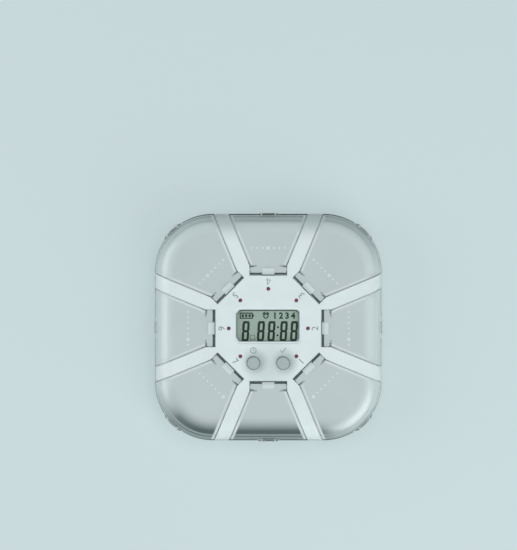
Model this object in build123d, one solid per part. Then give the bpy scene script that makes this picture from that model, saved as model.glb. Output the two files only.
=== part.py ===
from build123d import *
import math
import os

os.makedirs("parts", exist_ok=True)

# Pill box with a reminder clock: eight lidded pockets round an octagonal hub.
# Millimetres, +Z up. The origin is on the surface that the box stands on, under the middle
# of the hub. The front, where the two buttons are, faces -Y.

# Overall form
body_width = 150.0        # rounded square, side to side
body_corner = 38.0        # its corner radius in plan
foot_height = 1.0         # underside of the tray above the surface
seam_height = 17.0        # top of the tray's outer wall
lid_top = 29.4            # flat top of the lids
shoulder_radius = 12.0    # lids and spokes roll down to the side with this radius
frame_rise = 0.6          # the frame stands proud of the lids by this

# Clearances
fit_gap = 0.1             # between moulded pieces that are assembled face to face
seam_gap = 0.2            # under the lids' rims and the spokes' ends
lid_gap = 0.5             # between a lid and the frame beside it
pin_gap = 0.05            # radial play of a hinge pin in its bore

# Frame
lid_count = 8
first_day = 315.0         # direction of the first day's lid; the days run anticlockwise from it
hub_apothem = 35.1        # middle of the hub to each of its flats
hub_wall = 2.0
spoke_width = 8.8
spoke_wall = 2.1          # thickness of the hub's deck and of the spokes
hinge_zone = 25.1         # width of the parallel stretch where a lid is hinged
root_radius = 46.0        # the spokes' deep roots, which hold the hinge pins, end here
lip_gap = 0.2             # between a lid's swinging edge and the lips below it on the hub

# Lids
lid_wall = 1.5
hinge_gap = 2.0           # open strip between the hub and a lid
hinge_reach = 4.0         # hinge axis outwards from the hub's flat
barrel_radius = 1.4
pin_radius = 1.0
pin_length = 1.6          # how far a pin goes into the frame
tongue_width = 8.0
tongue_gap = 0.8
tongue_length = 4.3
tongue_rise = 0.4
tongue_drop = 3.5         # underside of the tongue below the top of the lid
slit_reach = 6.0          # slit that frees each hinge lug, from the hub's flat
slit_width = 0.6
slit_length = 2.5
skirt_gap = 0.2
skirt_wall = 1.2
skirt_depth = 2.5
tab_width = 8.0           # finger tab on the outer edge of each lid
tab_base = 19.0
tab_reach = 2.0
tab_sink = 1.0
tab_height = 2.2
tab_slot = 0.7

# Tray
tray_wall = 1.6
wall_draft = 10.0         # degrees
tray_edge = 5.0           # rounding of the outer bottom edge
pocket_edge = 3.0         # rounding inside the pockets
rib_width = 11.8          # double wall between two pockets
rib_wall = 1.4
well_gap = 0.3            # between the tray's well and the electronics tub in it
bead_height = 1.6
bead_drop = 0.4           # bead under the rim of the tray, below the seam
bead_rise = 0.7
ledge_height = 22.6       # top of the ledge that the frame and the tub clamp
ledge_wall = 1.5
ledge_width = 3.5
foot_radius = 4.5
foot_inset = 25.0         # middle of a foot from the sides of the box
foot_sink = 0.3

# Deck: display, lamps and buttons
window_length = 41.5
window_width = 21.4
window_corner = 2.0
window_place = 1.8        # behind the middle of the hub
window_drop = 0.4
window_flange = 1.7
window_flange_wall = 0.8
bezel_width = 1.6
bezel_depth = 0.4
bezel_slope = 60.0        # degrees from upright
lamp_clearance = 1.75     # between the display's holder and the foot of a lamp
lamp_radius = 1.2
lamp_round = 0.96
lamp_gap = 0.1
lamp_rise = 0.2
lamp_foot_radius = 1.7
lamp_foot_height = 1.0
button_place = (9.9, -23.2)
button_radius = 4.15
button_gap = 0.3
button_rise = 0.4
button_edge = 0.5
button_travel = 0.6
button_flange = 1.0
button_flange_wall = 0.8
dish_radius = 7.4         # finger dish round each button
dish_depth = 0.8

# Board and display stack
board_drop = 3.9          # top of the board below the deck's underside
board_wall = 1.6
board_edge = 0.95         # board beyond the feet of the lamps
glass_wall = 1.8
strip_height = 1.2
strip_wall = 2.0
holder_wall = 1.2
switch_side = 6.0
switch_body = 1.5
plunger_radius = 1.7
plunger_gap = 0.1         # left under a button that is pressed home
chip_side = 9.0
chip_height = 1.4
chip_place = 12.8
board_screw_places = ((0.0, -25.3), (-10.1, 24.4), (10.1, 24.4))
post_radius = 2.3
post_bite = 2.8           # thread of a board screw in its post

# Electronics tub
tub_wall = 1.8
boss_ring = 31.3
boss_radius = 2.5
boss_angles = (22.5, 157.5, 202.5, 337.5)
boss_bite = 3.5           # thread of a tub screw in its boss
screw_radius = 0.9
screw_head_radius = 1.9
screw_head_height = 1.3
screw_head_edge = 0.5
screw_grip = 7.0
bay_wall = 1.5
cell_radius = 5.25
cell_length = 43.7
cell_nub_radius = 1.9
cell_nub = 0.8
cell_edge = 0.65
cell_pitch = 11.2
cell_lift = 0.3
bay_place = -5.0
spring_length = 4.0
spring_turns = 4
spring_base_radius = 4.25
spring_tip_radius = 2.2
contact_wall = 0.4
contact_side = 8.4
bay_slack = 0.6
cover_wall = 1.6
cover_overlap = 1.2
cover_gap = 0.25
nail_radius = 2.4         # notch that a nail goes into to pull the cover
grip_count = 4
grip_pitch = 2.2
grip_radius = 0.55
grip_length = 12.5
speaker_radius = 11.0
speaker_place = 20.4
speaker_rim = 1.0
speaker_rim_height = 2.2
speaker_magnet_radius = 6.5
speaker_height = 5.0
sound_hole_radius = 0.8
sound_hole_pitch = 3.0
sound_ring_holes = 6      # in the first ring, twice as many in the next
sound_rings = 2

# Worked out from the sizes above
half_pitch = 180.0 / lid_count
sin_half = math.sin(math.radians(half_pitch))
cos_half = math.cos(math.radians(half_pitch))
lid_angles = [first_day + index * 2 * half_pitch for index in range(lid_count)]
day_angles = lid_angles[:-1]
spare_angle = lid_angles[-1]
spoke_angles = [angle + half_pitch for angle in lid_angles]
far = body_width          # plan shapes run out past the outline to here
sky = lid_top + body_width
frame_top = lid_top + frame_rise
deck_under = frame_top - spoke_wall
hinge_radius = hub_apothem + hinge_reach
hinge_height = lid_top - barrel_radius
lid_sweep = math.hypot(hinge_reach - hinge_gap, barrel_radius)
lip_place = (lid_sweep + lip_gap) / math.sqrt(2)
floor_top = foot_height + tray_wall
well_outer = hub_apothem + tray_wall
rib_half = rib_width / 2
root_low = ledge_height + fit_gap
board_top = deck_under - board_drop
board_low = board_top - board_wall
glass_length = window_length + window_flange
glass_width = window_width + window_flange
holder_length = glass_length + 2 * (fit_gap + holder_wall)
holder_width = glass_width + 2 * (fit_gap + holder_wall)
lamp_ring = holder_length / 2 + lamp_clearance + lamp_foot_radius
board_apothem = lamp_ring + lamp_foot_radius + board_edge
foot_place = body_width / 2 - foot_inset
tub_apothem = hub_apothem - well_gap
tub_top = ledge_height - ledge_wall - fit_gap
bay_length = cell_length + cell_nub + spring_length + 2 * contact_wall + bay_slack
bay_width = cell_pitch + 2 * cell_radius + bay_slack
cover_top = foot_height + cover_wall
cell_height = cover_top + cell_lift + cell_radius
bay_top = cell_height + cell_radius + cell_lift


def save(shape, node):
    export_step(shape, "parts/" + node + ".step")


def prism(points, low, high):
    # Upright solid over a plan outline
    outline = make_face(Polyline(*[(x, y, low) for x, y in points], close=True))
    return extrude(outline, amount=high - low, dir=(0, 0, 1))


def slab(sketch, low, high):
    # Upright solid over a plan sketch
    return Pos(0, 0, low) * extrude(sketch, amount=high - low)


def box(low_corner, high_corner):
    size = [high - low for low, high in zip(low_corner, high_corner)]
    middle = [(high + low) / 2 for low, high in zip(low_corner, high_corner)]
    return Pos(*middle) * Box(*size)


def octagon(apothem):
    # Hub outline, with a flat facing each lid
    corner = apothem / cos_half
    points = []
    for angle in spoke_angles:
        points.append((corner * math.cos(math.radians(angle)), corner * math.sin(math.radians(angle))))
    return make_face(Polyline(*points, close=True))


def turned(points):
    # Solid of revolution about Z from a half profile of (radius, height)
    profile = make_face(Polyline(*[(x, 0, z) for x, z in points], close=True))
    return revolve(profile, Axis.Z)


def bay_outline(inner, zone_half, edge):
    # Plan of a lid's bay along +X: parallel beside the hinge, then flared along the spokes.
    # edge is the distance from the centre line of a spoke.
    flare = (zone_half * cos_half + edge) / sin_half
    far_half = (far * sin_half - edge) / cos_half
    right = [(inner, -zone_half), (flare, -zone_half), (far, -far_half)]
    return right + [(x, -y) for x, y in reversed(right)]


def wedge_outline(inner, edge):
    # Plan of the sector between two spokes along +X
    inner_half = (inner * sin_half - edge) / cos_half
    far_half = (far * sin_half - edge) / cos_half
    right = [(inner, -inner_half), (far, -far_half)]
    return right + [(x, -y) for x, y in reversed(right)]


def outline_reach(angle):
    # Middle of the box to its outline in one direction
    turn = math.radians(angle % 90.0)
    turn = min(turn, math.pi / 2 - turn)
    half = body_width / 2
    centre = half - body_corner
    if half * math.tan(turn) <= centre:
        return half / math.cos(turn)
    along = centre * (math.cos(turn) + math.sin(turn))
    return along + math.sqrt(along ** 2 - 2 * centre ** 2 + body_corner ** 2)


def dome(depth, rise=0):
    # Solid inside the lids' outer surface, taken in by depth, down to the surface below.
    # rise lifts its top and leaves its sides where they are.
    side = body_width - 2 * depth
    block = slab(RectangleRounded(side, side, body_corner - depth), 0, lid_top + rise - depth)
    return fillet(block.edges().group_by(Axis.Z)[-1], shoulder_radius + rise - depth)


def cap(outer, inner):
    # Curved shell above the seam, between two domes
    return outer - inner - slab(Rectangle(2 * far, 2 * far), 0, seam_height + seam_gap)


def drafted(depth, low):
    # Rounded square that narrows from the seam down to the floor
    side = body_width - 2 * depth
    downward = Plane(origin=(0, 0, seam_height), x_dir=(1, 0, 0), z_dir=(0, 0, -1))
    section = downward * RectangleRounded(side, side, body_corner - depth)
    return extrude(section, amount=seam_height - low, taper=wall_draft)


# Lids

def finger_tab(reach, low):
    # Loop on the lid's outer edge, with slanted flanks and a slot behind its bar
    right = [(reach - tab_sink, -tab_base / 2), (reach + tab_reach, -tab_width / 2)]
    tab = prism(right + [(x, -y) for x, y in reversed(right)], low, low + tab_height)
    slot_low = (reach + fit_gap, -tab_width / 2, low - tab_height)
    slot_high = (reach + fit_gap + tab_slot, tab_width / 2, low + 2 * tab_height)
    return tab - box(slot_low, slot_high)


def make_lid(angle, lid_cap, skirt_cap, tab_limit):
    zone_half = hinge_zone / 2 - lid_gap
    edge = spoke_width / 2 + lid_gap
    inner = hub_apothem + hinge_gap
    low = seam_height + seam_gap
    here = Rot(0, 0, -angle)

    lid = (here * lid_cap) & prism(bay_outline(inner, zone_half, edge), 0, sky)

    # Skirts that drop into the pocket beside the tray's ribs
    skirt_start = hub_apothem + slit_reach + skirt_depth
    skirt_edge = rib_half + skirt_gap
    skirt_plan = prism(wedge_outline(skirt_start, skirt_edge), 0, sky)
    skirt_plan -= prism(wedge_outline(skirt_start - skirt_wall, skirt_edge + skirt_wall), 0, sky)
    lid += (here * skirt_cap) & skirt_plan

    # Hinge barrel, then the lugs at its ends, freed by slits
    barrel = Pos(hinge_radius, 0, hinge_height) * Rot(90, 0, 0) * Cylinder(barrel_radius, 2 * zone_half)
    lid += barrel
    tongue_inner = hub_apothem + tongue_gap
    lid += box((tongue_inner, -tongue_width / 2, lid_top - tongue_drop),
               (tongue_inner + tongue_length, tongue_width / 2, lid_top + tongue_rise))
    slit = hub_apothem + slit_reach
    for side in (-1, 1):
        slit_middle = side * (zone_half + slit_width / 2 - slit_length / 2)
        lid -= Pos(slit, slit_middle, lid_top) * Box(slit_width, slit_length + slit_width, 4 * lid_wall)

    pin_span = 2 * (hinge_zone / 2 + pin_length)
    lid += Pos(hinge_radius, 0, hinge_height) * Rot(90, 0, 0) * Cylinder(pin_radius, pin_span)

    tab = finger_tab(outline_reach(angle), low) - here * tab_limit
    return Rot(0, 0, angle) * (lid + tab)


# Frame: hub deck, eight spokes and their roots

def make_frame():
    frame = cap(dome(0, frame_rise), dome(spoke_wall - frame_rise))
    frame += slab(Circle(root_radius), root_low, deck_under + fit_gap)
    frame -= slab(octagon(hub_apothem - hub_wall), 0, deck_under)
    bay = prism(bay_outline(hub_apothem, hinge_zone / 2, spoke_width / 2), 0, sky)
    bore_span = 2 * (hinge_zone / 2 + pin_length + seam_gap)
    bore = Pos(hinge_radius, 0, hinge_height) * Rot(90, 0, 0) * Cylinder(pin_radius + pin_gap, bore_span)
    lip_low = (hub_apothem - hub_wall, tongue_width / 2 + lid_gap, root_low)
    lip_high = (hinge_radius - lip_place, hinge_zone / 2 + hub_wall, hinge_height - lip_place)
    lip = box(lip_low, lip_high)
    lips = lip + mirror(lip, Plane.XZ)
    for angle in lid_angles:
        frame -= Rot(0, 0, angle) * (bay + bore)
        frame += Rot(0, 0, angle) * lips

    # Display opening inside a shallow sloped bezel
    plug = RectangleRounded(window_length, window_width, window_corner)
    frame -= Pos(0, window_place, 0) * slab(plug, deck_under - spoke_wall, sky)
    bezel_length = window_length + 2 * bezel_width
    bezel_side = window_width + 2 * bezel_width
    downward = Plane(origin=(0, window_place, frame_top), x_dir=(1, 0, 0), z_dir=(0, 0, -1))
    bezel = downward * RectangleRounded(bezel_length, bezel_side, window_corner + bezel_width)
    frame -= extrude(bezel, amount=bezel_depth, taper=bezel_slope)

    for x, y in lamp_places():
        frame -= Pos(x, y, 0) * slab(Circle(lamp_radius + lamp_gap), deck_under - spoke_wall, sky)

    # A dish of this radius is dish_depth deep where it meets the button
    ball = (dish_radius ** 2 + dish_depth ** 2) / (2 * dish_depth)
    for x, y in button_places():
        frame -= Pos(x, y, frame_top - dish_depth + ball) * Sphere(ball)
        frame -= Pos(x, y, 0) * slab(Circle(button_radius + button_gap), deck_under - spoke_wall, sky)

    # Posts under the deck for the board, and bosses for the screws of the tub
    for x, y in board_screw_places:
        post = slab(Circle(post_radius), board_top, deck_under + fit_gap)
        post -= slab(Circle(screw_radius), 0, deck_under)
        frame += Pos(x, y, 0) * post
    for x, y in boss_places():
        boss = slab(Circle(boss_radius), tub_top + fit_gap, deck_under + fit_gap)
        boss -= slab(Circle(screw_radius), 0, deck_under)
        frame += Pos(x, y, 0) * boss
    return frame


def lamp_places():
    # One lamp beside each day's lid; the spare lid, at the front, has none
    places = []
    for angle in day_angles:
        turn = math.radians(angle)
        places.append((lamp_ring * math.cos(turn), lamp_ring * math.sin(turn)))
    return places


def button_places():
    return [(side * button_place[0], button_place[1]) for side in (-1, 1)]


def boss_places():
    places = []
    for angle in boss_angles:
        turn = math.radians(angle)
        places.append((boss_ring * math.cos(turn), boss_ring * math.sin(turn)))
    return places


# Tray: eight pockets round a well, in one moulding

def make_pocket(angle, inside):
    # Space of one pocket below the seam, with rounded corners, and the open space above it
    outline = prism(wedge_outline(well_outer, rib_half), floor_top, sky)
    lower = (Rot(0, 0, -angle) * inside) & outline
    upright = [edge for edge in lower.edges() if abs(edge.tangent_at(0.5).Z) > 0.9]
    lower = fillet(upright, pocket_edge)
    lower = fillet(lower.edges().group_by(Axis.Z)[0], pocket_edge)
    inner_corners = wedge_outline(well_outer, rib_half)
    plan = make_face(Polyline(*inner_corners, close=True))
    plan = fillet(plan.vertices().group_by(Axis.X)[0], pocket_edge)
    upper = slab(plan, seam_height, sky)
    return Rot(0, 0, angle) * (lower + upper)


def rib_room():
    # Space that the slots in the ribs keep to, one wall inside the tray's outer faces
    narrowing = (seam_height - foot_height) * math.tan(math.radians(wall_draft))
    flat_side = body_width - 2 * (narrowing + tray_edge)
    body = drafted(tray_wall, floor_top)
    body = fillet(body.edges().group_by(Axis.Z)[0], tray_edge - tray_wall)
    body += slab(RectangleRounded(flat_side, flat_side, body_corner - narrowing - tray_edge), 0, seam_height)
    body += slab(Rectangle(2 * far, 2 * far), seam_height, sky)
    return body & dome(lid_wall + fit_gap + rib_wall)


def make_rib_hollow(room):
    # Slot that keeps a rib double-walled, open underneath
    half = rib_half - rib_wall
    start = well_outer / cos_half + rib_wall
    lower_top = ledge_height - rib_wall
    hollow = box((start, -half, 0), (far, half, lower_top))
    hollow += box((root_radius + 2 * rib_wall, -half, 0), (far, half, sky))
    return hollow & room


def make_tray():
    outer = drafted(0, foot_height)
    outer = fillet(outer.edges().group_by(Axis.Z)[0], tray_edge)
    bead_side = body_width + 2 * bead_rise
    bead_low = seam_height - bead_drop - bead_height
    bead = RectangleRounded(bead_side, bead_side, body_corner + bead_rise)
    ribs_top = dome(lid_wall + fit_gap) - slab(Rectangle(2 * far, 2 * far), 0, seam_height - tray_wall)
    tray = outer + slab(bead, bead_low, bead_low + bead_height) + ribs_top

    inside = drafted(tray_wall, floor_top)
    for angle in lid_angles:
        tray -= make_pocket(angle, inside)
    room_under = rib_room()
    for angle in spoke_angles:
        tray -= Rot(0, 0, angle) * make_rib_hollow(Rot(0, 0, -angle) * room_under)

    # Well for the electronics, with the ledge that is clamped round it
    tray -= slab(octagon(hub_apothem), 0, ledge_height - ledge_wall)
    tray -= slab(octagon(hub_apothem - ledge_width), 0, sky)
    tray -= slab(Circle(root_radius + lid_gap), ledge_height, sky)
    for x, y in boss_places():
        tray -= Pos(x, y, 0) * slab(Circle(boss_radius + well_gap), 0, sky)
    for x, y in foot_places():
        tray -= Pos(x, y, 0) * slab(Circle(foot_radius + fit_gap), 0, foot_height + foot_sink)
    return tray


def foot_places():
    return [(x * foot_place, y * foot_place) for x in (-1, 1) for y in (-1, 1)]


def make_foot():
    top = foot_height + foot_sink
    foot = slab(Circle(foot_radius), 0, top)
    return chamfer(foot.edges().group_by(Axis.Z)[0], foot_sink)


# Electronics tub and its battery bay

def bay_box(grow, low, high):
    return box((-bay_length / 2 - grow, bay_place - bay_width / 2 - grow, low),
               (bay_length / 2 + grow, bay_place + bay_width / 2 + grow, high))


def make_tub():
    tub = slab(octagon(tub_apothem), foot_height, tub_top)
    tub -= slab(octagon(tub_apothem - tub_wall), foot_height + tub_wall, sky)
    tub += bay_box(bay_wall, foot_height, bay_top + bay_wall)
    for x, y in boss_places():
        tub += Pos(x, y, 0) * slab(Circle(boss_radius), foot_height, tub_top)
    seat = foot_height + tub_wall
    rim = slab(Circle(speaker_radius + fit_gap + bay_wall), foot_height, seat + speaker_rim_height)
    rim -= slab(Circle(speaker_radius + fit_gap), seat, sky)
    tub += Pos(0, speaker_place, 0) * rim

    tub -= bay_box(0, 0, bay_top)
    tub -= bay_box(cover_overlap, 0, cover_top)
    tub -= Pos(0, bay_place - bay_width / 2 - cover_overlap, 0) * slab(Circle(nail_radius), 0, cover_wall)
    for x, y in boss_places():
        tub -= Pos(x, y, 0) * slab(Circle(screw_radius + pin_gap), 0, sky)
        tub -= Pos(x, y, 0) * slab(Circle(screw_head_radius + fit_gap), 0, tub_top - screw_grip)
    for x, y in sound_holes():
        tub -= Pos(x, y, 0) * slab(Circle(sound_hole_radius), 0, foot_height + 2 * tub_wall)
    return tub


def sound_holes():
    # Rings of holes under the speaker
    places = [(0.0, speaker_place)]
    for ring in range(1, sound_rings + 1):
        for index in range(sound_ring_holes * ring):
            turn = 2 * math.pi * index / (sound_ring_holes * ring)
            reach = ring * sound_hole_pitch
            places.append((reach * math.cos(turn), speaker_place + reach * math.sin(turn)))
    return places


def make_battery_cover():
    grow = cover_overlap - cover_gap
    cover = bay_box(grow, foot_height, cover_top - fit_gap)
    # Grip grooves beside the nail notch
    for index in range(grip_count):
        y = bay_place - bay_width / 2 + (index + 1) * grip_pitch
        groove = Pos(0, y, foot_height) * Rot(0, 90, 0) * Cylinder(grip_radius, grip_length)
        cover -= groove
    return cover


def make_cell(side):
    # Cylinder cell with its nub; the two lie head to tail
    body = Cylinder(cell_radius, cell_length, align=(Align.CENTER, Align.CENTER, Align.MIN))
    body = chamfer(body.edges().group_by(Axis.Z)[-1] + body.edges().group_by(Axis.Z)[0], cell_edge)
    nub = Cylinder(cell_nub_radius, cell_length + cell_nub, align=(Align.CENTER, Align.CENTER, Align.MIN))
    cell = body + nub
    start = -bay_length / 2 + contact_wall + spring_length + bay_slack / 2
    lying = Pos(start, 0, 0) * Rot(0, 90, 0) * cell
    if side > 0:
        lying = Rot(0, 0, 180) * lying
    return Pos(0, bay_place + side * cell_pitch / 2, cell_height) * lying


def make_springs():
    # Conical spring, stepped as its coils are, on a plate at the flat end of each cell
    springs = Part()
    pitch = spring_length / spring_turns
    narrowing = (spring_base_radius - spring_tip_radius) / (spring_turns - 1)
    points = [(0, 0)]
    for turn in range(spring_turns):
        wide = spring_base_radius - turn * narrowing
        points += [(wide, turn * pitch), (wide, (turn + 1) * pitch)]
    points.append((0, spring_length))
    cone = turned(points)
    plate = slab(Rectangle(contact_side, contact_side), -contact_wall, 0)
    spring = Pos(-bay_length / 2 + contact_wall + bay_slack / 4, 0, 0) * Rot(0, 90, 0) * (cone + plate)
    for side in (-1, 1):
        here = spring if side < 0 else Rot(0, 0, 180) * spring
        springs += Pos(0, bay_place + side * cell_pitch / 2, cell_height) * here
    return springs


def make_plates():
    # Flat contact at the nub of each cell
    plates = Part()
    plate = Rot(0, 90, 0) * slab(Rectangle(contact_side, contact_side), -contact_wall, 0)
    plate = Pos(bay_length / 2 - bay_slack / 4, 0, 0) * plate
    for side in (-1, 1):
        here = plate if side < 0 else Rot(0, 0, 180) * plate
        plates += Pos(0, bay_place + side * cell_pitch / 2, cell_height) * here
    return plates


def make_speaker():
    low = foot_height + tub_wall
    speaker = slab(Circle(speaker_radius), low, low + speaker_rim_height)
    speaker += slab(Circle(speaker_magnet_radius), low, low + speaker_height)
    speaker -= slab(Circle(speaker_radius - speaker_rim), low, low + speaker_rim_height / 2)
    return Pos(0, speaker_place, 0) * speaker


def screw(head_low, length):
    # Pan head below, shank upwards
    head = slab(Circle(screw_head_radius), head_low, head_low + screw_head_height)
    head = chamfer(head.edges().group_by(Axis.Z)[0], screw_head_edge)
    shank = slab(Circle(screw_radius - pin_gap), head_low, head_low + screw_head_height + length)
    return head + shank


def make_screws(places, seat, length):
    screws = Part()
    for x, y in places:
        screws += Pos(x, y, 0) * screw(seat - screw_head_height, length)
    return screws


# Board, display and what is pressed or lit

def make_board():
    board = slab(octagon(board_apothem), board_low, board_top)
    for x, y in boss_places():
        board -= Pos(x, y, 0) * slab(Circle(boss_radius + 2 * well_gap), 0, sky)
    for x, y in board_screw_places:
        board -= Pos(x, y, 0) * slab(Circle(screw_radius + fit_gap), 0, sky)
    return board


def make_window():
    plug = RectangleRounded(window_length - 2 * fit_gap, window_width - 2 * fit_gap, window_corner - fit_gap)
    flange_length = window_length + 2 * window_flange
    flange = RectangleRounded(flange_length, window_width + 2 * window_flange, window_corner)
    window = slab(plug, deck_under - window_flange_wall, frame_top - bezel_depth - window_drop)
    window += slab(flange, deck_under - window_flange_wall, deck_under)
    return Pos(0, window_place, 0) * window


def make_glass():
    low = board_top + strip_height
    return Pos(0, window_place, 0) * slab(Rectangle(glass_length, glass_width), low, low + glass_wall)


def make_strips():
    # Contact strips between the board and the two long edges of the glass
    strips = Part()
    length = glass_length - 2 * strip_wall
    for side in (-1, 1):
        strip = slab(Rectangle(length, strip_wall), board_top, board_top + strip_height)
        strips += Pos(0, window_place + side * (glass_width - strip_wall) / 2, 0) * strip
    return strips


def make_holder():
    top = deck_under - window_flange_wall - fit_gap
    holder = slab(Rectangle(holder_length, holder_width), board_top, top)
    holder -= slab(Rectangle(glass_length + 2 * fit_gap, glass_width + 2 * fit_gap), 0, sky)
    return Pos(0, window_place, 0) * holder


def make_lamp():
    top = frame_top + lamp_rise
    lamp = slab(Circle(lamp_radius), board_top, top)
    lamp = fillet(lamp.edges().group_by(Axis.Z)[-1], lamp_round)
    return lamp + slab(Circle(lamp_foot_radius), board_top, board_top + lamp_foot_height)


def make_button():
    flange_top = deck_under - fit_gap
    button = slab(Circle(button_radius), flange_top - button_flange_wall, frame_top + button_rise)
    button = fillet(button.edges().group_by(Axis.Z)[-1], button_edge)
    return button + slab(Circle(button_radius + button_flange), flange_top - button_flange_wall, flange_top)


def make_switch():
    button_low = deck_under - fit_gap - button_flange_wall
    body = slab(Rectangle(switch_side, switch_side), board_top, board_top + switch_body)
    return body + slab(Circle(plunger_radius), board_top, button_low - button_travel - plunger_gap)


def make_chip():
    chip = slab(Rectangle(chip_side, chip_side), board_low - chip_height, board_low)
    return Pos(0, chip_place, 0) * chip


lid_cap = cap(dome(0), dome(lid_wall))
skirt_cap = cap(dome(lid_wall - fit_gap), dome(lid_wall + skirt_depth))
tab_limit = dome(lid_wall / 2)
for day, angle in enumerate(day_angles, 1):
    save(make_lid(angle, lid_cap, skirt_cap, tab_limit), "lid_" + str(day))
save(make_lid(spare_angle, lid_cap, skirt_cap, tab_limit), "lid_spare")

save(make_tray(), "tray")
save(make_frame(), "top_frame")
save(make_tub(), "electronics_tub")
save(make_battery_cover(), "battery_cover")
for number, side in ((1, -1), (2, 1)):
    save(make_cell(side), "battery_cell_" + str(number))
save(make_springs(), "battery_springs")
save(make_plates(), "battery_plates")
save(make_speaker(), "speaker")
save(make_screws(boss_places(), tub_top - screw_grip, screw_grip + boss_bite), "tub_screws")
save(make_screws(board_screw_places, board_low, board_wall + post_bite), "board_screws")
for number, (x, y) in enumerate(foot_places(), 1):
    save(Pos(x, y, 0) * make_foot(), "foot_" + str(number))

save(make_board(), "circuit_board")
save(make_chip(), "control_chip")
save(make_window(), "display_window")
save(make_glass(), "display_glass")
save(make_strips(), "contact_strips")
save(make_holder(), "display_holder")
for day, (x, y) in enumerate(lamp_places(), 1):
    save(Pos(x, y, 0) * make_lamp(), "lamp_" + str(day))
for side, (x, y) in zip(("left", "right"), button_places()):
    save(Pos(x, y, 0) * make_button(), "button_" + side)
    save(Pos(x, y, 0) * make_switch(), "switch_" + side)
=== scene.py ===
import bpy, bmesh, math
from mathutils import Matrix, Vector


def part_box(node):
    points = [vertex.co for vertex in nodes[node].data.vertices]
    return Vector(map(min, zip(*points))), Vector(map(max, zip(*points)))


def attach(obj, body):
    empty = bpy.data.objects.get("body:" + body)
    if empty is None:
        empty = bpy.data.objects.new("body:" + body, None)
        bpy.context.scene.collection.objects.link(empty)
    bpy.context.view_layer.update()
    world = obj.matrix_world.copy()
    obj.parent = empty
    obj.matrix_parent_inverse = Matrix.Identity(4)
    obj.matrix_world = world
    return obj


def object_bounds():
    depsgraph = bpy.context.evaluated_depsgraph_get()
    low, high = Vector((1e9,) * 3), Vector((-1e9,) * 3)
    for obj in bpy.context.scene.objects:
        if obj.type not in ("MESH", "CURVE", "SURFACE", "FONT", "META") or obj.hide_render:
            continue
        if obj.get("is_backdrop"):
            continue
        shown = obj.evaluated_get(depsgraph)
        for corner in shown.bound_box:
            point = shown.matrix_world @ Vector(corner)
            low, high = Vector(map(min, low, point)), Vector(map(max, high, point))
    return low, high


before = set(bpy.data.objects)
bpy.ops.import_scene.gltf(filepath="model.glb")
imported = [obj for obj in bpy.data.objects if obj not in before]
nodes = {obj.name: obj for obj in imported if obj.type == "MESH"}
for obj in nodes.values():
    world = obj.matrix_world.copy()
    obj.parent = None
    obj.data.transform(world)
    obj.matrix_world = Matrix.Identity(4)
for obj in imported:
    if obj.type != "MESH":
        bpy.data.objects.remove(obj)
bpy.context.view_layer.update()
mm = 0.001


def linearFromHex(text):
    # sRGB hex to the linear values that shader sockets take
    channels = [int(text[i:i + 2], 16) / 255 for i in (0, 2, 4)]
    return [c / 12.92 if c <= 0.04045 else ((c + 0.055) / 1.055) ** 2.4 for c in channels] + [1.0]


def addNode(tree, kind, settings=None, inputs=None, links=None, stops=None):
    # one node, its properties, its unlinked sockets, what feeds the linked ones, and a ramp's stops
    node = tree.nodes.new(kind)
    for key, value in (settings or {}).items():
        setattr(node, key, value)
    for key, value in (inputs or {}).items():
        node.inputs[key].default_value = value
    for key, source in (links or {}).items():
        tree.links.new(source, node.inputs[key])
    for index, (place, colour) in enumerate(stops or []):
        if index >= len(node.color_ramp.elements):
            node.color_ramp.elements.new(place)
        node.color_ramp.elements[index].position = place
        node.color_ramp.elements[index].color = colour
    return node


def startMaterial(name):
    # an empty material, its tree, and the socket that its shader goes to
    material = bpy.data.materials.new(name)
    material.use_nodes = True
    tree = material.node_tree
    tree.nodes.clear()
    return material, tree, addNode(tree, "ShaderNodeOutputMaterial").inputs["Surface"]


def levelAlong(tree, distance, steps):
    # a grey level that follows a distance: steps are (mm, level) pairs
    length = steps[-1][0]
    share = addNode(tree, "ShaderNodeMath", {"operation": "DIVIDE"}, {1: length}, {0: distance})
    ramp = addNode(tree, "ShaderNodeValToRGB", links={"Fac": share.outputs[0]},
                   stops=[(place / length, (level, level, level, 1.0)) for place, level in steps])
    return ramp.outputs["Color"]


def levelAround(tree, place, centre, steps):
    # the same for the distance from an upright line through a point in millimetres
    flat = addNode(tree, "ShaderNodeVectorMath", {"operation": "MULTIPLY"}, {1: (1.0, 1.0, 0.0)},
                   {0: place})
    away = addNode(tree, "ShaderNodeVectorMath", {"operation": "DISTANCE"},
                   {1: (centre[0] * mm, centre[1] * mm, 0.0)}, {0: flat.outputs[0]})
    inMm = addNode(tree, "ShaderNodeMath", {"operation": "DIVIDE"}, {1: mm}, {0: away.outputs["Value"]})
    return levelAlong(tree, inMm.outputs[0], steps)


def paintOver(tree, tone, layer, at, more=()):
    # a layer's colour over a tone, where its levels along all the ways that it names are high;
    # gives the new tone and the layer's share
    levels = [levelAlong(tree, at[way], steps) for way, steps in layer.items() if way != "colour"]
    levels += more
    share = levels[0]
    for level in levels[1:]:
        share = addNode(tree, "ShaderNodeMath", {"operation": "MULTIPLY"},
                        links={0: share, 1: level}).outputs[0]
    mix = addNode(tree, "ShaderNodeMix", {"data_type": "RGBA"}, {"B": linearFromHex(layer["colour"])},
                  {"A": tone, "Factor": share})
    return mix.outputs["Result"], share


# the rim's outline from above, a rounded square in mm, and half the angle between two lids
rimOutline = {"halfWidth": 75.0, "corner": 38.0, "halfLid": math.pi / 8}


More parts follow.
